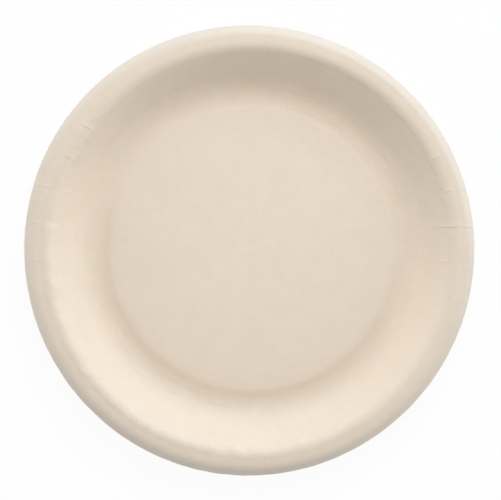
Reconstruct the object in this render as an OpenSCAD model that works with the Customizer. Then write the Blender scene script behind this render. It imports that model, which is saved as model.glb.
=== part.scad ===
// Round plate pressed from one sheet of plain paperboard. From the middle outwards the sheet runs
// through a slightly crowned floor, a shallow ring that the plate stands on, a flared wall, a
// rolled-over top, a short brim and a turned-down lip. Where the sheet gathers, radial pleats are
// pressed flat into the upper wall and the rim.
// Millimetres. The plate stands on z = 0 and its axis is the Z axis.

/* [Plate] */
// Diameter across the lip
plate_d = 222; // [180:1:270]
// Height from the standing ring to the top of the rim
plate_h = 20.5; // [17:0.5:26]
// Thickness of the sheet
sheet_t = 0.5; // [0.3:0.05:0.8]

/* [Floor] */
// Slope of the crowned floor at its edge, in degrees
floor_slope = 0.85; // [0.2:0.05:2]
// Radius of the bend from the floor down into the ring
floor_edge_r = 13; // [4:0.5:18]

/* [Standing ring] */
// Slope of the sheet where it falls into the ring, in degrees
ring_slope = 13; // [5:1:20]
// Radius of the bend that levels the sheet at the ring
ring_r = 17; // [8:1:26]
// Width of the level ring that the plate stands on
ring_w = 1; // [0.6:0.1:4]

/* [Wall] */
// Radius of the bend from the ring up into the wall
wall_foot_r = 14.5; // [8:0.5:18]
// Slope of the straight wall, in degrees
wall_slope = 50; // [38:1:56]

/* [Rim] */
// Radius of the bend over the top of the rim
rim_top_r = 6.7; // [3:0.1:9]
// Slope of the brim outside the top, in degrees
brim_slope = 3; // [2:1:20]
// Length of the straight brim
brim_w = 2.3; // [1:0.1:8]
// Radius of the bend from the brim into the lip
lip_r = 6.3; // [3:0.1:10]
// Slope of the lip, in degrees
lip_slope = 37; // [25:1:65]
// Length of the straight lip
lip_w = 2.8; // [1:0.1:6]

/* [Pleats] */
// Number of pleats round the rim
pleat_n = 36; // [12:1:60]
// Width of a pleat's crease at the lip
pleat_w = 0.5; // [0.3:0.05:1]
// Depth of a pleat's crease
pleat_depth = 0.15; // [0.05:0.05:0.2]
// Length of a pleat down the wall, below the bend over the top
pleat_wall_l = 4; // [1:0.5:6]
// Angle of the first pleat, in degrees from the X axis
pleat_first = 4.5; // [0:0.5:9.5]
// Most that a pleat is turned from its even place, because the blank sat off centre, in degrees
pleat_drift = 1.6; // [0:0.1:3]
// Side of the plate where the pleats are turned most, in degrees from the X axis
pleat_drift_side = 25; // [0:5:355]

/* [Hidden] */
$fn = 180;

// Largest turn between two points of a bend, in degrees, and largest step along a shallow one
bend_step = 6;
long_step = 12;
// How far a crease's cutter stands clear of the sheet
clearance = 1;

// The section is traced along the upper side of the sheet, as bends and straight runs. Each is
// [bend radius, slope at its start, slope at its end, straight length].
function bend(radius, from, to) = [radius, from, to, 0];
function run(slope, length) = [0, slope, slope, length];

// How far a stretch has travelled, outwards and upwards, after a share of its way
function travel(s, share = 1) =
    s[0] == 0
        ? share * s[3] * [cos(s[1]), sin(s[1])]
        : let (slope = s[1] + share * (s[2] - s[1]))
          s[0] * sign(s[2] - s[1]) * [sin(slope) - sin(s[1]), cos(s[1]) - cos(slope)];
function travel_all(stretches, count) =
    count == 0 ? [0, 0] : travel_all(stretches, count - 1) + travel(stretches[count - 1]);

// Number of straight pieces that stand for a stretch
function pieces(s) =
    let (turn = abs(s[2] - s[1]))
    max(1, ceil(turn / bend_step), ceil(s[0] * turn * PI / 180 / long_step));

// Points along a chain of stretches, at a distance above the sheet's upper side
function above(slope, distance) = distance * [-sin(slope), cos(slope)];
function trace(stretches, start, distance) = [
    for (i = [0 : len(stretches) - 1], k = [0 : pieces(stretches[i]) - (i < len(stretches) - 1 ? 1 : 0)])
        let (s = stretches[i], share = k / pieces(s))
        start + travel_all(stretches, i) + travel(s, share)
            + above(s[1] + share * (s[2] - s[1]), distance)
];

// The wall's straight length brings the rim's top to the plate's height
wall_foot = bend(wall_foot_r, 0, wall_slope);
rim_top = bend(rim_top_r, wall_slope, -brim_slope);
rim_rise = rim_top_r * (1 - cos(wall_slope));
wall_l = (plate_h - sheet_t - travel(wall_foot).y - rim_rise) / sin(wall_slope);
wall = run(wall_slope, wall_l);
lip = [run(-brim_slope, brim_w), bend(lip_r, -brim_slope, -lip_slope), run(-lip_slope, lip_w)];
outer = concat([run(0, ring_w), wall_foot, wall, rim_top], lip);
ring_fall = [bend(floor_edge_r, -floor_slope, -ring_slope), bend(ring_r, -ring_slope, 0)];

// The floor takes up the radius that is left
plate_r = plate_d / 2;
ring_out = travel_all(ring_fall, len(ring_fall));
outer_out = travel_all(outer, len(outer));
floor_r = plate_r - ring_out.x - outer_out.x;
floor_bend = bend(floor_r / sin(floor_slope), 0, -floor_slope);
sheet = concat([floor_bend], ring_fall, outer);
sheet_start = [0, sheet_t - travel(floor_bend).y - ring_out.y];

// A crease follows the same line, from its foot on the wall to just past the lip
crease = concat([run(wall_slope, pleat_wall_l), rim_top], lip, [run(-lip_slope, clearance)]);
crease_start = sheet_start + travel_all(sheet, len(sheet) - len(lip) - 1)
    - travel(run(wall_slope, pleat_wall_l));
crease_turn = 2 * asin(pleat_w / plate_d);

function reversed(points) = [for (i = [len(points) - 1 : -1 : 0]) points[i]];

module sheet_section() {
    polygon(concat(trace(sheet, sheet_start, 0), reversed(trace(sheet, sheet_start, -sheet_t))));
}

module crease_section() {
    deep = trace(crease, crease_start, -pleat_depth);
    polygon(concat(
        [crease_start],
        [for (i = [1 : len(deep) - 1]) deep[i]],
        reversed(trace(crease, crease_start, clearance))
    ));
}

module plate() {
    color([0.90, 0.84, 0.78])
    difference() {
        rotate_extrude() sheet_section();
        for (i = [0 : pleat_n - 1]) {
            even = pleat_first + i * 360 / pleat_n;
            middle = even + pleat_drift * cos(even - pleat_drift_side);
            rotate_extrude(angle = crease_turn, start = middle - crease_turn / 2)
                crease_section();
        }
    }
}

plate();
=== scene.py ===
# %% [markdown]
# A disposable dinner plate, pressed from one sheet of plain paperboard.
# The press turns a flat disc into a floor, a shallow ring, a flared wall and a rolled rim, and the
# gathers at the rim are flattened into short radial pleats.
# Everything here is in metres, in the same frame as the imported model, with Z up and the plate on Z = 0.

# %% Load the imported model
import math
import random

import bmesh
import bpy
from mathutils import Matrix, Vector, noise


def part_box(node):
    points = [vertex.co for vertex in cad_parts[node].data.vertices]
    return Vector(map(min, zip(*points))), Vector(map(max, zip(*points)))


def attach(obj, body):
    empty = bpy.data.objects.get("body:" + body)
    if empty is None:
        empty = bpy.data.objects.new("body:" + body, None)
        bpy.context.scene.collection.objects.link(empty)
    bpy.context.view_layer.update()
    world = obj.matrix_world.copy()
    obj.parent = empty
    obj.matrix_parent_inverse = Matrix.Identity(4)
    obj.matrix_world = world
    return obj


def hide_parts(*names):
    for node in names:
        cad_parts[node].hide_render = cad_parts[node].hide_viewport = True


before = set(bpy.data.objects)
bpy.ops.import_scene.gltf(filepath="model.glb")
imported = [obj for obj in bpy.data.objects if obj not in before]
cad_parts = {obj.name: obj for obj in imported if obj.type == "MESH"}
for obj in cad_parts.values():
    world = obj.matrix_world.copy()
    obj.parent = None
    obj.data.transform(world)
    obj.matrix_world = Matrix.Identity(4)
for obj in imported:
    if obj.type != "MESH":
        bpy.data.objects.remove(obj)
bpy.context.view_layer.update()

# %% [markdown]
# The plate's outer size comes from the frame, so this script follows the construction model.
# The section is described as the press tool would be: straight runs and round bends, each with the
# slope of the sheet in degrees. Only the floor's radius and the wall's length are worked out, because
# they take up what is left of the plate's radius and height.

# %% Sizes of the sheet and its section
mm = 0.001
low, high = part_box("plate")
plate_r = (high[0] - low[0]) / 2
plate_h = high[2] - low[2]
sheet_t = 0.5 * mm

floor_slope = 0.85
floor_edge_r = 13 * mm
ring_slope = 13
ring_r = 17 * mm
ring_w = 1 * mm
wall_foot_r = 14.5 * mm
wall_slope = 50
rim_top_r = 6.7 * mm
brim_slope = 3
brim_w = 2.3 * mm
lip_r = 6.3 * mm
lip_slope = 37
lip_w = 2.8 * mm
edge_r = 0.08 * mm
print("plate radius", round(plate_r / mm, 2), "mm, height", round(plate_h / mm, 2), "mm")


# %% [markdown]
# A section could be typed in as a list of points. It is easier to read, and exact, as a path for a pen:
# extrude a vertex to draw a straight run, and spin it about the bend's centre to draw an arc.
# Each stretch is (radius, slope at its start, slope at its end, length), with no length for a bend and
# no radius for a run.

# %% Stretches of the section
def bend(radius, start, end):
    return (radius, math.radians(start), math.radians(end), 0.0)


def run(slope, length):
    return (0.0, math.radians(slope), math.radians(slope), length)


def travel(stretch):
    """How far a stretch goes outwards and upwards."""
    radius, start, end, length = stretch
    if radius == 0:
        return Vector((length * math.cos(start), length * math.sin(start)))
    side = math.copysign(1, end - start)
    return radius * side * Vector((math.sin(end) - math.sin(start), math.cos(start) - math.cos(end)))


wall_foot = bend(wall_foot_r, 0, wall_slope)
rim_rise = rim_top_r * (1 - math.cos(math.radians(wall_slope)))
wall_l = (plate_h - sheet_t - travel(wall_foot).y - rim_rise) / math.sin(math.radians(wall_slope))
outer_stretches = [
    bend(floor_edge_r, -floor_slope, -ring_slope),
    bend(ring_r, -ring_slope, 0),
    run(0, ring_w),
    wall_foot,
    run(wall_slope, wall_l),
    bend(rim_top_r, wall_slope, -brim_slope),
    run(-brim_slope, brim_w),
    bend(lip_r, -brim_slope, -lip_slope),
    run(-lip_slope, lip_w),
]
floor_r = plate_r - sum(travel(s).x for s in outer_stretches)
floor_bend = bend(floor_r / math.sin(math.radians(floor_slope)), 0, -floor_slope)
stretches = [floor_bend] + outer_stretches
ring_drop = sum(travel(s).y for s in stretches[:3])
print("floor radius", round(floor_r / mm, 2), "mm, wall length", round(wall_l / mm, 2), "mm")


# %% [markdown]
# The pen runs out along the upper side, round the cut edge, and back along the underside. On the way
# back every bend keeps its centre, so its radius grows or shrinks by the sheet's thickness, and the
# board is equally thick everywhere. The cut edge gets two tiny bends, because a blade leaves board
# slightly rounded.

# %% Draw the closed section
fine_turn = math.radians(4)
fine_step = 1.6 * mm
long_step = 6 * mm
coarse = 1.8
edge_fineness = 6


def draw(bm, tip, stretch, heading_turn, grow, fineness):
    """Draws one stretch from tip and returns the new tip."""
    radius, start, end, length = stretch
    back = heading_turn != 0
    first, last = (end, start) if back else (start, end)
    if radius == 0:
        count = max(1, round(length / (fine_step * fineness)))
        heading = first + heading_turn
        step = Vector((math.cos(heading), 0, math.sin(heading))) * length / count
        for _ in range(count):
            tip = bmesh.ops.extrude_vert_indiv(bm, verts=[tip])["verts"][0]
            bmesh.ops.translate(bm, verts=[tip], vec=step)
        return tip
    turn = last - first
    heading = first + heading_turn
    side = math.copysign(1, turn)
    middle_side = math.copysign(1, end - start)
    true_r = radius + middle_side * grow
    centre = tip.co + side * true_r * Vector((-math.sin(heading), 0, math.cos(heading)))
    length = true_r * abs(turn)
    count = max(2, round(abs(turn) / (fine_turn * fineness)), round(length / (long_step * fineness)))
    spun = bmesh.ops.spin(bm, geom=[tip], cent=centre, axis=(0, -1, 0), angle=turn, steps=count)
    return next(item for item in spun["geom_last"] if isinstance(item, bmesh.types.BMVert))


shell = bmesh.new()
pen = bmesh.ops.create_vert(shell, co=(0, 0, sheet_t - ring_drop))["vert"][0]
for stretch in stretches[:-1]:
    pen = draw(shell, pen, stretch, 0, 0, 1)
lip_run = run(-lip_slope, lip_w - edge_r)
pen = draw(shell, pen, lip_run, 0, 0, 1)
down = -lip_slope - 90
pen = draw(shell, pen, bend(edge_r, -lip_slope, down), 0, 0, edge_fineness)
pen = draw(shell, pen, run(down, sheet_t - 2 * edge_r), 0, 0, 1)
pen = draw(shell, pen, bend(edge_r, down, down - 90), 0, 0, edge_fineness)
pen = draw(shell, pen, lip_run, math.pi, sheet_t, coarse)
for stretch in reversed(stretches[:-1]):
    pen = draw(shell, pen, stretch, math.pi, sheet_t, coarse)
print("section:", len(shell.verts), "points, ends at", [round(v / mm, 3) for v in pen.co])

# %% [markdown]
# Spinning the closed section about the plate's axis gives a closed shell in one step. The spin is even,
# so afterwards the columns are drawn together at each pleat, where the mesh needs to be fine, and
# spread out in between. Pleats form at even places, turned a little to one side of the plate because
# the blank lay slightly off centre in the press.

# %% Spin the section and gather its columns at the pleats
pleat_n = 36
pleat_first = 4.5
pleat_drift = 1.6
pleat_drift_side = 25
pleat_stray = 0.12
near_pleat = [v * mm / plate_r for v in (0, 0.12, 0.26, 0.45, 0.7, 1.0, 1.5)]
between = 8
columns = 2 * len(near_pleat) - 1 + between
full_turn = 2 * math.pi
axis_r = 0.01 * mm
chance = random.Random(36)


def pleat_angle(i):
    even = pleat_first + i * 360 / pleat_n
    return math.radians(even + pleat_drift * math.cos(math.radians(even - pleat_drift_side)))


strays = [math.radians(chance.uniform(-pleat_stray, pleat_stray)) for _ in range(pleat_n)]
pleat_at = [pleat_angle(i) + strays[i] for i in range(pleat_n)]
pleat_at.append(pleat_at[0] + full_turn)


def column_angle(column):
    """Where an evenly spun column goes."""
    i, k = divmod(column, columns)
    start, end = pleat_at[i], pleat_at[i + 1]
    if k < len(near_pleat):
        return start + near_pleat[k]
    if k >= len(near_pleat) + between:
        return end - near_pleat[columns - k]
    share = (k - len(near_pleat) + 1) / (between + 1)
    first, last = start + near_pleat[-1], end - near_pleat[-1]
    return first + share * (last - first)


step_n = pleat_n * columns
bmesh.ops.spin(shell, geom=shell.verts[:] + shell.edges[:], cent=(0, 0, 0), axis=(0, 0, 1),
               angle=full_turn, steps=step_n, use_merge=True)
bmesh.ops.remove_doubles(shell, verts=shell.verts[:], dist=0.001 * mm)
column_layer = shell.verts.layers.int.new("column")
for v in shell.verts:
    r = v.co.xy.length
    if r > axis_r:
        turn = math.atan2(v.co.y, v.co.x) % full_turn
        v[column_layer] = round(turn * step_n / full_turn) % step_n
        angle = column_angle(v[column_layer])
        v.co.x = r * math.cos(angle)
        v.co.y = r * math.sin(angle)
bmesh.ops.recalc_face_normals(shell, faces=shell.faces[:])
shell.normal_update()
open_edges = sum(1 for e in shell.edges if len(e.link_faces) != 2)
print("shell:", len(shell.verts), "points,", len(shell.faces), "faces,", open_edges, "open edges")

# %% [markdown]
# Real pleats are not all alike. Most are barely there: they get a small depth, a reach and a slant
# from a seeded random source. A few are bold, and the photo shows how far each of those runs. The
# table gives their weight, and how far from the plate's edge they start and end, in millimetres.
# The ranges of the random draws are in millimetres too, apart from the weight and the slant.
# Beside each crease the sheet is folded up into a low ridge, on the side that faces the back of the
# plate.

# %% Describe each pleat
deepest = 0.1 * mm
faint_weight = (0.1, 0.22)
faint_start = (10, 14)
faint_end = (3, 7)
crease_w = (0.2, 0.26)
slants = (-0.06, 0.06)
kinks = (0.2, 0.6)
notches = (0.05, 0.2)
bold = {
    0: (0.85, 24.7, 2.0),
    1: (0.7, 13.4, 2.0),
    2: (0.7, 12.4, 8.5),
    4: (0.7, 12.0, 8.0),
    5: (0.5, 11.5, 8.5),
    9: (0.5, 6.0, 0.0),
    14: (0.8, 14.4, 8.6),
    15: (0.6, 14.4, 8.6),
    16: (0.65, 19.8, 1.6),
    17: (0.65, 11.5, 4.5),
    18: (0.8, 10.5, 4.5),
    21: (0.6, 12.4, 6.5),
    25: (0.7, 6.0, 1.5),
    27: (0.5, 8.5, 2.5),
    28: (0.5, 6.5, 1.5),
    34: (0.9, 14.4, 0.0),
    35: (0.7, 18.5, 8.5),
}
pleats = []
for i in range(pleat_n):
    faint = (chance.uniform(*faint_weight), chance.uniform(*faint_start), chance.uniform(*faint_end))
    weight, start, end = bold.get(i, faint)
    pleats.append({
        "angle": pleat_at[i],
        "depth": deepest * weight,
        "width": chance.uniform(*crease_w) * mm,
        "lean": 1 if math.cos(pleat_at[i]) > 0 else -1,
        "start": plate_r - start * mm,
        "end": plate_r - end * mm,
        "slant": chance.uniform(*slants),
        "kink": chance.uniform(*kinks) * mm,
        "notch": chance.uniform(*notches) * mm * weight,
        "phase": chance.uniform(0, 100),
    })
right_side, upper_left = 0, 14
pleats[right_side].update(slant=-0.08, kink=0.15 * mm)
pleats[upper_left].update(slant=0.15)
print("pleats:", pleat_n, "of which bold", len(bold))


# %% [markdown]
# The relief could be sculpted by hand, or painted and used by a Displace modifier. Here a formula moves
# each point, because it can be read, measured and changed by one number.
# First the pleats: close to each the upper side sinks into a crease and rises into the ridge beside
# it, and the underside answers with half of both, so the sheet is thinner at the crease and thicker at
# the ridge. A pleat is never even along its way: it fades and comes back, and it wanders sideways.
# Both come from a smooth noise in space. Its last number picks a slice of that space, so no two
# patterns are alike.

# %% Shape of a pleat
fold_reach = 3 * mm
pleat_starts_in = 2 * mm
pleat_ends_in = (0.5 * mm, 1.5 * mm)
crease_off = 0.1 * mm
ridge_off = 0.75 * mm
ridge_w = 0.4 * mm
ridge_share = 1.8
under_share = 0.5
patch_length = 3 * mm
patch_middle, patch_swing, patch_least = 0.6, 1.8, 0.1
wander_length = 4 * mm
slant_centre = 8 * mm
notch_w = 0.5 * mm
notch_depth_in = 1.5 * mm


def smooth(low_end, high_end, value):
    share = min(1, max(0, (value - low_end) / (high_end - low_end)))
    return share * share * (3 - 2 * share)


def bump_at(distance, width):
    return math.exp(-(distance / width) ** 2)


def pleat_move(pleat, angle, r, out, up, facing):
    """How a pleat moves a point, and how much of its crease and its ridge the point has, from 0 to 1."""
    u = ((angle - pleat["angle"] + math.pi) % full_turn - math.pi) * r
    along = smooth(pleat["start"], pleat["start"] + pleat_starts_in, r)
    ended = 1 - smooth(pleat["end"] - pleat_ends_in[0], pleat["end"] + pleat_ends_in[1], r)
    if abs(u) > 3 * fold_reach or along == 0:
        return Vector((0, 0, 0)), 0, 0
    fade = bump_at(u, fold_reach)
    patch = noise.noise((r / patch_length, pleat["phase"], 7))
    strength = along * ended * min(1, max(patch_least, patch_middle + patch_swing * patch))
    groove = strength * bump_at(u + crease_off * pleat["lean"], pleat["width"])
    ridge = strength * bump_at(u - ridge_off * pleat["lean"], ridge_w)
    wander = noise.noise((r / wander_length, pleat["phase"], 0)) * pleat["kink"]
    shift = pleat["slant"] * (r - plate_r + slant_centre) + wander
    across = Vector((-out.y, out.x, 0))
    move = across * (along * shift * fade)
    answer = (1 - under_share) / 2 + (1 + under_share) / 2 * facing
    move += up * (pleat["depth"] * (ridge_share * ridge - groove) * answer)
    notch = bump_at(u, notch_w) * smooth(plate_r - notch_depth_in, plate_r, r)
    move -= out * (pleat["notch"] * notch)
    return move, groove * pleat["depth"] / deepest, ridge * pleat["depth"] / deepest


print("pleat: up to", round(deepest / mm, 2), "mm deep, ridge", round(ridge_off / mm, 2), "mm beside it")

# %% [markdown]
# Then the sheet as a whole. The blank lay a little off centre in the press, so the pressed form sits to
# one side of the cut edge and is slightly oval, and the lip is shorter on that side. The sheet drifts
# out of round, the floor is a little tilted and the rim waves gently, because board springs back after
# pressing. At the back the brim stands slightly higher, and at the front the lip's edge turns up. On
# the left front, where the sheet gathered unevenly, the top of the rim is ragged. The cut edge is
# slightly frayed all round. All of this stays inside the outer size, and the standing ring stays flat
# on the table. A zone is given by the radii where it starts, is full, is still full and is over.

# %% Unevenness of the whole sheet
out_of_round = 0.4 * mm
lobe_side = math.radians(20)
ring_inner_r = plate_r - 36.6 * mm
held_zone = (plate_r - 8 * mm, plate_r - 0.5 * mm)
rim_shift_r = plate_r - 13 * mm
floor_off = Vector((0.80, 0.05, 0)) * mm
rim_off = Vector((0.97, 0.40, 0)) * mm
oval = 0.36 * mm
floor_oval_zone = (20 * mm, 68 * mm, 72 * mm, 85 * mm)
floor_oval_side = math.radians(-36)
rim_oval_zone = (85 * mm, 98 * mm)
rim_oval_side = math.radians(22)
lip_late = 0.3 * mm
lip_late_zone = (103 * mm, 106.5 * mm, 107.5 * mm, 110.8 * mm)
back_lift = 0.22 * mm
back_lift_zone = (101 * mm, 106.5 * mm, 106.5 * mm, plate_r)
back_lift_side = math.radians(60)
front_raise = 0.35 * mm
front_raise_r = 106.5 * mm
front_raise_w = 4.5 * mm
front_raise_side = math.radians(262)
ragged = 1.1 * mm
ragged_n = 18
ragged_zone = (94 * mm, 98 * mm, 101 * mm, 104 * mm)
ragged_middle = math.radians(225)
frayed = 0.14 * mm
frayed_in = 1.5 * mm
rim_wave = 0.22 * mm
rim_wave_n = 2.2
rim_sink = 0.1 * mm
rim_wave_from = ring_inner_r + 10 * mm
floor_wave = 0.12 * mm
floor_wave_length = 38 * mm
calm_zone = (ring_inner_r - 12 * mm, ring_inner_r - 2 * mm)
crown = 0.1 * mm
crown_zone = (20 * mm, 62 * mm)
floor_tilt = 0.25 * mm
floor_tilt_zone = (68 * mm, 76 * mm)
floor_tilt_side = math.radians(245)


def inside(zone, r):
    return smooth(zone[0], zone[1], r) * (1 - smooth(zone[2], zone[3], r))


def sheet_move(x, y, r, out, angle):
    """How the sheet as a whole moves a point."""
    held = 1 - smooth(*held_zone, r)
    to_rim = smooth(ring_inner_r, rim_shift_r, r)
    move = (floor_off * (1 - to_rim) + rim_off * to_rim) * held
    floor_share = inside(floor_oval_zone, r)
    rim_share = smooth(*rim_oval_zone, r) * held
    move += out * (oval * floor_share * math.cos(2 * (angle - floor_oval_side)))
    move += out * (oval * rim_share * math.cos(2 * (angle - rim_oval_side)))
    move += out * (lip_late * inside(lip_late_zone, r))
    move.z += back_lift * inside(back_lift_zone, r) * max(0, math.cos(angle - back_lift_side))
    turned_up = min(1, max(0, (r - front_raise_r) / front_raise_w)) ** 3
    move.z += front_raise * turned_up * max(0, math.cos(angle - front_raise_side))
    ragged_here = inside(ragged_zone, r) * smooth(0.1, 0.6, math.cos(angle - ragged_middle))
    move += out * (ragged * ragged_here * noise.noise((ragged_n * out.x, ragged_n * out.y, 3)))
    frayed_here = 0.5 + noise.noise((ragged_n * out.x, ragged_n * out.y, 9))
    move -= out * (frayed * frayed_here * smooth(plate_r - frayed_in, plate_r, r))
    lobes = (math.cos(3 * (angle - lobe_side)) - 1) / 2
    move += out * (out_of_round * lobes * smooth(ring_inner_r, plate_r, r))
    wave = 0.5 + 0.5 * noise.noise((rim_wave_n * out.x, rim_wave_n * out.y, 5))
    move.z -= smooth(rim_wave_from, plate_r, r) * (rim_sink + rim_wave * wave)
    calm = 1 - smooth(*calm_zone, r)
    move.z += calm * floor_wave * noise.noise((x / floor_wave_length, y / floor_wave_length, 2))
    move.z += crown * (1 - smooth(*crown_zone, r))
    tilted = min(1, r / floor_tilt_zone[0]) * (1 - smooth(*floor_tilt_zone, r))
    move.z += floor_tilt * tilted * math.cos(angle - floor_tilt_side)
    return move


print("sheet: off centre by", round(rim_off.length / mm, 2), "mm, oval by", round(oval / mm, 2), "mm")

# %% [markdown]
# Now each point of the shell moves once. Its move depends only on where it stood after the spin, so the
# order of the points makes no difference. Only the two pleats at either side of a point are asked.
# Each point also keeps how much of a crease and of a ridge it has, in two attributes that the colour
# reads later to paint shade into the crease and a highlight onto the ridge. Near the cut edge the normals
# turn round the edge, so the lip's own direction is used.

# %% Press the pleats in and let the sheet relax
lip_up = math.radians(lip_slope)
lip_from = plate_r - 1 * mm
pleat_reach = 28 * mm
faces_up = 0.2
crease_layer = shell.verts.layers.float.new("crease")
fold_layer = shell.verts.layers.float.new("fold")
for v in shell.verts:
    r = v.co.xy.length
    if r > axis_r:
        out = Vector((v.co.x / r, v.co.y / r, 0))
    else:
        out = Vector((1, 0, 0))
    angle = math.atan2(out.y, out.x)
    side = 1 if v.normal.z > faces_up else -1
    move = Vector((0, 0, 0))
    if r > plate_r - pleat_reach:
        lip_normal = out * math.sin(lip_up) + Vector((0, 0, math.cos(lip_up)))
        up = v.normal * side if r < lip_from else lip_normal
        sector = v[column_layer] // columns
        for k in (sector, (sector + 1) % pleat_n):
            shift, depth, fold = pleat_move(pleats[k], angle, r, out, up, v.normal.dot(up))
            move += shift
            v[crease_layer] = max(v[crease_layer], depth)
            v[fold_layer] = max(v[fold_layer], fold)
    v.co += move + sheet_move(v.co.x, v.co.y, r, out, angle)
    v.co.z = max(0, v.co.z)

mesh = bpy.data.meshes.new("plate_sheet")
shell.to_mesh(mesh)
shell.free()
for face in mesh.polygons:
    face.use_smooth = True
plate = bpy.data.objects.new("plate_sheet", mesh)
bpy.context.scene.collection.objects.link(plate)
reach = max(v.co.xy.length for v in mesh.vertices)
top = max(v.co.z for v in mesh.vertices)
bottom = min(v.co.z for v in mesh.vertices)
print("relief: radius", round(reach / mm, 3), "mm")
print("relief: z from", round(bottom / mm, 3), "to", round(top / mm, 3), "mm")

# %% [markdown]
# The board is matt, with the faint sheen that a hot press leaves. Unbleached pulp is never one colour:
# it clouds slightly, carries fine fibres and shows a few darker specks. All patterns use Object
# coordinates, so they stay with the plate from every side.

# %% Small helpers for materials
board_rgb = (0.77, 0.667, 0.548)


def new_material(name):
    material = bpy.data.materials.new(name)
    material.use_nodes = True
    return material, material.node_tree, material.node_tree.nodes["Principled BSDF"]


def add_node(tree, kind, inputs=None, **settings):
    node = tree.nodes.new(kind)
    for key, value in settings.items():
        setattr(node, key, value)
    for key, value in (inputs or {}).items():
        if isinstance(value, bpy.types.NodeSocket):
            tree.links.new(value, node.inputs[key])
        else:
            node.inputs[key].default_value = value
    return node


def noise_at(tree, place, size, detail=2.0, roughness=0.5):
    """A cloudy pattern around 0.5 with features of the given size in metres."""
    inputs = {"Vector": place, "Scale": 1 / size, "Detail": detail, "Roughness": roughness}
    return add_node(tree, "ShaderNodeTexNoise", inputs).outputs["Fac"]


def remap(tree, value, low_in, high_in, low_out, high_out):
    inputs = {"Value": value, "From Min": low_in, "From Max": high_in}
    inputs.update({"To Min": low_out, "To Max": high_out})
    return add_node(tree, "ShaderNodeMapRange", inputs).outputs["Result"]


def zone_at(tree, value, zone, after=0.0):
    """1 inside a zone of radii and 0 before it, with even slopes at both ends."""
    rising = remap(tree, value, zone[0], zone[1], 0, 1)
    falling = remap(tree, value, zone[2], zone[3], 1, after)
    return calculate(tree, "MULTIPLY", rising, falling)


def calculate(tree, operation, a, b):
    return add_node(tree, "ShaderNodeMath", {0: a, 1: b}, operation=operation).outputs[0]


def tint(tree, colour, amount, shade):
    """Mixes a colour towards a shade by an amount between 0 and 1."""
    mix = add_node(tree, "ShaderNodeMix", {"Factor": amount}, data_type="RGBA", blend_type="MULTIPLY")
    for socket, value in (("A", colour), ("B", shade)):
        place = next(s for s in mix.inputs if s.name == socket and s.type == "RGBA")
        if isinstance(value, bpy.types.NodeSocket):
            tree.links.new(value, place)
        else:
            place.default_value = (*value, 1)
    return next(s for s in mix.outputs if s.type == "RGBA")


def add_bump(tree, height, depth, under=None):
    """Raises the surface by a pattern, up to a depth in metres, over the bump that lies under it."""
    inputs = {"Height": height, "Strength": 1.0, "Distance": depth}
    if under is not None:
        inputs["Normal"] = under
    return add_node(tree, "ShaderNodeBump", inputs).outputs["Normal"]


print("board colour", board_rgb)

# %% [markdown]
# The colour is built in layers, each a slight tint over the last: the clouds, the fibres and the hue,
# then painted shade in the hollow of the ring round the wall's foot, painted shade that darkens the rim
# and the lip as if less light fell there, and a slightly greyer, cooler edge, then the pleats, with
# painted shade in the crease and a painted highlight on the ridge, and last the specks.

# %% Colour and sheen of the board
cloud_size, cloud_rgb = 11 * mm, (0.982, 0.980, 0.977)
grain_size, grain_rgb = 2.2 * mm, (0.98, 0.98, 0.98)
hue_size, hue_rgb = 5 * mm, (1.0, 0.988, 0.975)
# painted shade: this tint darkens and slightly yellows the ring round the wall's foot, where the hollow
# gets less light
ring_shade_zone, ring_shade_rgb = (71 * mm, 78 * mm, 81 * mm, 89 * mm), (0.957, 0.955, 0.94)
# painted shade: this tint darkens the rim and the lip, as if less light fell there than on the floor
rim_shade_zone, rim_shade_rgb = (98.5 * mm, 103 * mm), (0.94, 0.94, 0.94)
edge_zone, edge_rgb = (106 * mm, 111 * mm), (0.96, 0.98, 1.0)
# painted shade: this tint darkens the board in each crease
crease_shade_rgb = (0.94, 0.93, 0.915)
# painted highlight: this tint lightens the board on each ridge beside a crease
ridge_highlight_rgb = (1.07, 1.07, 1.075)
speck_apart, speck_rgb = 7 * mm, (0.88, 0.86, 0.83)
speck_size = (0.03, 0.06)
speck_share = 0.25
sheen = (0.52, 0.64)

board, tree, shader = new_material("pressed_board")
place = add_node(tree, "ShaderNodeTexCoord").outputs["Object"]
clouds = noise_at(tree, place, cloud_size, 3)
grain = noise_at(tree, place, grain_size, 3, 0.6)
hue = noise_at(tree, place, hue_size, 1)
far = add_node(tree, "ShaderNodeVectorMath", {0: place}, operation="LENGTH").outputs["Value"]
colour = tint(tree, board_rgb, remap(tree, clouds, 0.35, 0.65, 0, 1), cloud_rgb)
colour = tint(tree, colour, remap(tree, grain, 0.3, 0.7, 0, 1), grain_rgb)
colour = tint(tree, colour, remap(tree, hue, 0.4, 0.6, 0, 1), hue_rgb)
# painted shade in the hollow round the foot of the wall
colour = tint(tree, colour, zone_at(tree, far, ring_shade_zone), ring_shade_rgb)
# painted shade over the rim and the lip
colour = tint(tree, colour, remap(tree, far, *rim_shade_zone, 0, 1), rim_shade_rgb)
colour = tint(tree, colour, remap(tree, far, *edge_zone, 0, 1), edge_rgb)
crease = add_node(tree, "ShaderNodeAttribute", attribute_name="crease").outputs["Fac"]
fold = add_node(tree, "ShaderNodeAttribute", attribute_name="fold").outputs["Fac"]
# painted shade in the creases
colour = tint(tree, colour, crease, crease_shade_rgb)
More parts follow.
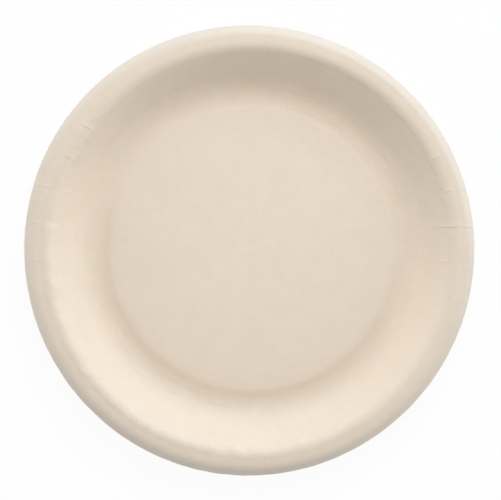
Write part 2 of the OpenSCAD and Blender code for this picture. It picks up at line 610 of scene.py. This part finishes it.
# painted highlight on the ridges
colour = tint(tree, colour, fold, ridge_highlight_rgb)
cells = add_node(tree, "ShaderNodeTexVoronoi", {"Vector": place, "Scale": 1 / speck_apart})
dot = remap(tree, cells.outputs["Distance"], *speck_size, 1, 0)
lucky = add_node(tree, "ShaderNodeSeparateColor", {"Color": cells.outputs["Color"]}).outputs["Red"]
lucky = calculate(tree, "GREATER_THAN", lucky, 1 - speck_share)
colour = tint(tree, colour, calculate(tree, "MULTIPLY", dot, lucky), speck_rgb)
tree.links.new(colour, shader.inputs["Base Color"])
tree.links.new(remap(tree, grain, 0.3, 0.7, *sheen), shader.inputs["Roughness"])
shader.inputs["Specular IOR Level"].default_value = 0.5
print("colour layers: clouds, fibres, hue, ring, rim, edge, crease, ridge and specks")

# %% [markdown]
# The surface is felt from the wire mesh of the mould, with a soft unrest over it. Near the standing
# ring the sheet slid as it was drawn in, which leaves long shallow ripples round two sides of the
# plate. Round the top of the rim it puckered. All of this is texture, so it is bump in the material,
# while the pleats and the form of the sheet are in the mesh. The ripples need coordinates that run
# round the plate, so they are made from the angle and the radius of each point.

# %% Felt, ripples and puckers
felt_size, felt_depth = 2.2 * mm, 0.015 * mm
unrest_size, unrest_depth = 7 * mm, 0.032 * mm
ripple_size, ripple_depth = 4.5 * mm, 0.36 * mm
ripple_round = 24 * mm
ripple_slant = 7 * mm
ripple_zone = (69 * mm, 74 * mm, 82 * mm, 89 * mm)
ripple_side = math.radians(45)
pucker_size, pucker_depth = 4 * mm, 0.45 * mm
pucker_zone = (94 * mm, 98 * mm, 101 * mm, 105 * mm)
pucker_side = math.radians(200)
pucker_left_over = 0.3

felt = noise_at(tree, place, felt_size, 5, 0.65)
bumps = add_bump(tree, felt, felt_depth)
unrest = noise_at(tree, place, unrest_size, 1)
bumps = add_bump(tree, unrest, unrest_depth, bumps)

axes = add_node(tree, "ShaderNodeSeparateXYZ", {"Vector": place})
turn = calculate(tree, "ARCTAN2", axes.outputs["Y"], axes.outputs["X"])
sideways = calculate(tree, "MULTIPLY", turn, ripple_round)
slanted = calculate(tree, "ADD", far, calculate(tree, "MULTIPLY", turn, ripple_slant))
polar = add_node(tree, "ShaderNodeCombineXYZ", {"X": sideways, "Y": slanted}).outputs["Vector"]
ripples = noise_at(tree, polar, ripple_size, 1)
from_side = calculate(tree, "MULTIPLY", calculate(tree, "SUBTRACT", turn, ripple_side), 2)
two_sides = remap(tree, calculate(tree, "COSINE", from_side, 0), -0.2, 0.6, 0, 1)
here = calculate(tree, "MULTIPLY", zone_at(tree, far, ripple_zone), two_sides)
bumps = add_bump(tree, calculate(tree, "MULTIPLY", ripples, here), ripple_depth, bumps)

left = calculate(tree, "COSINE", calculate(tree, "SUBTRACT", turn, pucker_side), 0)
left = calculate(tree, "MAXIMUM", remap(tree, left, 0.1, 0.6, 0, 1), two_sides)
puckers = noise_at(tree, place, pucker_size, 1)
here = calculate(tree, "MULTIPLY", zone_at(tree, far, pucker_zone, pucker_left_over), left)
bumps = add_bump(tree, calculate(tree, "MULTIPLY", puckers, here), pucker_depth, bumps)
tree.links.new(bumps, shader.inputs["Normal"])
print("bumps: ripples", round(ripple_depth / mm, 2), "mm and puckers", round(pucker_depth / mm, 2), "mm")

# %% [markdown]
# The blade leaves a cut face round the lip. It shows the layers of the pulp and has no sheen. The faces
# that look outwards and down at the very edge get this second material.

# %% Cut edge
layer_size, layer_rgb = 0.4 * mm, (0.86, 0.84, 0.81)
cut_w = 1.5 * mm
looks_out = 0.3
cut_edge, tree, shader = new_material("cut_edge")
place = add_node(tree, "ShaderNodeTexCoord").outputs["Object"]
layers = noise_at(tree, place, layer_size, 3, 0.7)
colour = tint(tree, board_rgb, remap(tree, layers, 0.3, 0.7, 0, 1), layer_rgb)
tree.links.new(colour, shader.inputs["Base Color"])
shader.inputs["Roughness"].default_value = 0.85
shader.inputs["Specular IOR Level"].default_value = 0.2

plate.data.materials.append(board)
plate.data.materials.append(cut_edge)
for face in mesh.polygons:
    out_here = face.center.xy.length
    outwards = (face.normal.xy.dot(face.center.xy)) / out_here
    if out_here > plate_r - cut_w and outwards > looks_out and face.normal.z < 0:
        face.material_index = 1
edge_faces = sum(1 for face in mesh.polygons if face.material_index == 1)
print("materials:", board.name, "and", cut_edge.name, "on", edge_faces, "faces")

# %% [markdown]
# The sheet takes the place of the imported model's one node.

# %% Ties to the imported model
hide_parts("plate")
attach(plate, "root")
print(plate.name, "stands in for the node plate")

# %% [markdown]
# The stage is a plain pale floor. The picture's background is white. More light would bleach the plate
# as well, so the floor shows white to the camera and to reflections, mixed with a little of its own
# shading, and the plate's soft shadow stays on it.

# %% Stage
floor_rgb = (0.9, 0.9, 0.9)
floor_size = 8
white_share = 0.95


def seen_ray(tree):
    """1 for a ray that is seen, from the camera or by way of a reflection or glass, and 0 for others."""
    rays = add_node(tree, "ShaderNodeLightPath")
    seen = calculate(tree, "MAXIMUM", rays.outputs["Is Camera Ray"], rays.outputs["Is Glossy Ray"])
    return calculate(tree, "MAXIMUM", seen, rays.outputs["Is Transmission Ray"])


bpy.ops.mesh.primitive_plane_add(size=floor_size)
floor = bpy.context.object
floor.name = "floor"
pale, tree, shader = new_material("pale_floor")
shader.inputs["Base Color"].default_value = (*floor_rgb, 1)
shader.inputs["Roughness"].default_value = 0.9
shader.inputs["Specular IOR Level"].default_value = 0.1
lift = calculate(tree, "MULTIPLY", seen_ray(tree), white_share)
white = add_node(tree, "ShaderNodeEmission", {"Color": (1, 1, 1, 1), "Strength": 1.0})
blend = add_node(tree, "ShaderNodeMixShader", {0: lift, 1: shader.outputs[0], 2: white.outputs[0]})
tree.links.new(blend.outputs[0], tree.nodes["Material Output"].inputs["Surface"])
floor.data.materials.append(pale)
print("stage:", floor.name, "shows", white_share, "white")

# %% [markdown]
# The photo was taken from straight above through a long lens. The lens and the camera's place follow
# from the outline in the photo: its radius and its centre in pixels, and the plate's own radius. The
# outline is measured at the height of the cut edge, which is nearer to the camera than the floor is.

# %% Camera
photo_w = 501
photo_mid_x = 250.5
photo_mid_y = 250
photo_r = 225.2
centre_x = 249.1
centre_y = 250.1
mean_r = plate_r - out_of_round / 2
metres_per_px = mean_r / photo_r
camera_h = 2.5
edge_h = 16.8 * mm
sensor_w = 36
farthest = 100
camera_data = bpy.data.cameras.new("camera")
camera = bpy.data.objects.new("camera", camera_data)
bpy.context.scene.collection.objects.link(camera)
camera_data.sensor_width = sensor_w
camera_data.lens = camera_data.sensor_width * (camera_h - edge_h) / (photo_w * metres_per_px)
camera_data.clip_end = farthest
camera_x = (photo_mid_x - centre_x) * metres_per_px
camera_y = (centre_y - photo_mid_y) * metres_per_px
camera.location = (camera_x, camera_y, camera_h)
bpy.context.scene.camera = camera
print("camera: lens", round(camera_data.lens, 1), "mm at", camera_h, "m")

# %% [markdown]
# The light is a soft studio set. Wide softboxes stand mostly at the back of the plate, a little to the
# right, and fairly low, so the back wall is in soft shade and the front wall is bright. The other
# lamps fill in from all sides. In the photo this fill is bluer from the back and the front, and warmer
# from the left front, the right front and above, and the tints follow that. Together the lamps are
# about neutral.
# Each lamp is given by its azimuth and elevation in degrees, its distance and size in metres, its power
# in watts and its tint.

# %% Lamps and world
lamps = {
    "back_mid": (74.5, 35, 1.6, 1.0, 11.8, (0.935, 1, 1.01)),
    "back_high": (74.5, 55, 1.6, 1.0, 11.2, (0.95, 1, 1.13)),
    "left_back": (134.5, 15, 1.6, 1.0, 5.3, (0.8, 1, 1.26)),
    "left_front": (194.5, 15, 1.6, 1.0, 8.4, (1.08, 1, 0.86)),
    "right_back": (14.5, 15, 1.6, 1.0, 7.5, (0.83, 1, 1.23)),
    "right_front": (-45.5, 15, 1.6, 1.0, 6.7, (1.12, 1, 0.79)),
    "front": (254.5, 15, 1.6, 1.0, 2.8, (0.4, 1, 1.9)),
    "over": (74.5, 90, 1.0, 0.5, 1.35, (1.34, 1, 0.56)),
}
for name, (azimuth, elevation, distance, size, power, tone) in lamps.items():
    light = bpy.data.lights.new(name, "AREA")
    light.shape = "DISK"
    light.size = size
    light.energy = power
    light.color = tone
    lamp = bpy.data.objects.new(name, light)
    bpy.context.scene.collection.objects.link(lamp)
    turn, rise = math.radians(azimuth), math.radians(elevation)
    aim = Vector((math.cos(turn) * math.cos(rise), math.sin(turn) * math.cos(rise), math.sin(rise)))
    lamp.location = aim * distance
    lamp.rotation_euler = (-aim).to_track_quat("-Z", "Y").to_euler()

print("lamps:", ", ".join(lamps))

# %% [markdown]
# The world adds no light. It is only the white that the camera and the reflections see past the floor.
# The Standard view transform shows a colour about as it is written.

# %% World and colour
world_light = 0.0
world = bpy.data.worlds.new("world")
bpy.context.scene.world = world
world.use_nodes = True
tree = world.node_tree
strength = remap(tree, seen_ray(tree), 0, 1, world_light, 1)
tree.links.new(strength, tree.nodes["Background"].inputs["Strength"])
tree.nodes["Background"].inputs["Color"].default_value = (1, 1, 1, 1)
bpy.context.scene.view_settings.view_transform = "Standard"
print("world: light of", world_light)
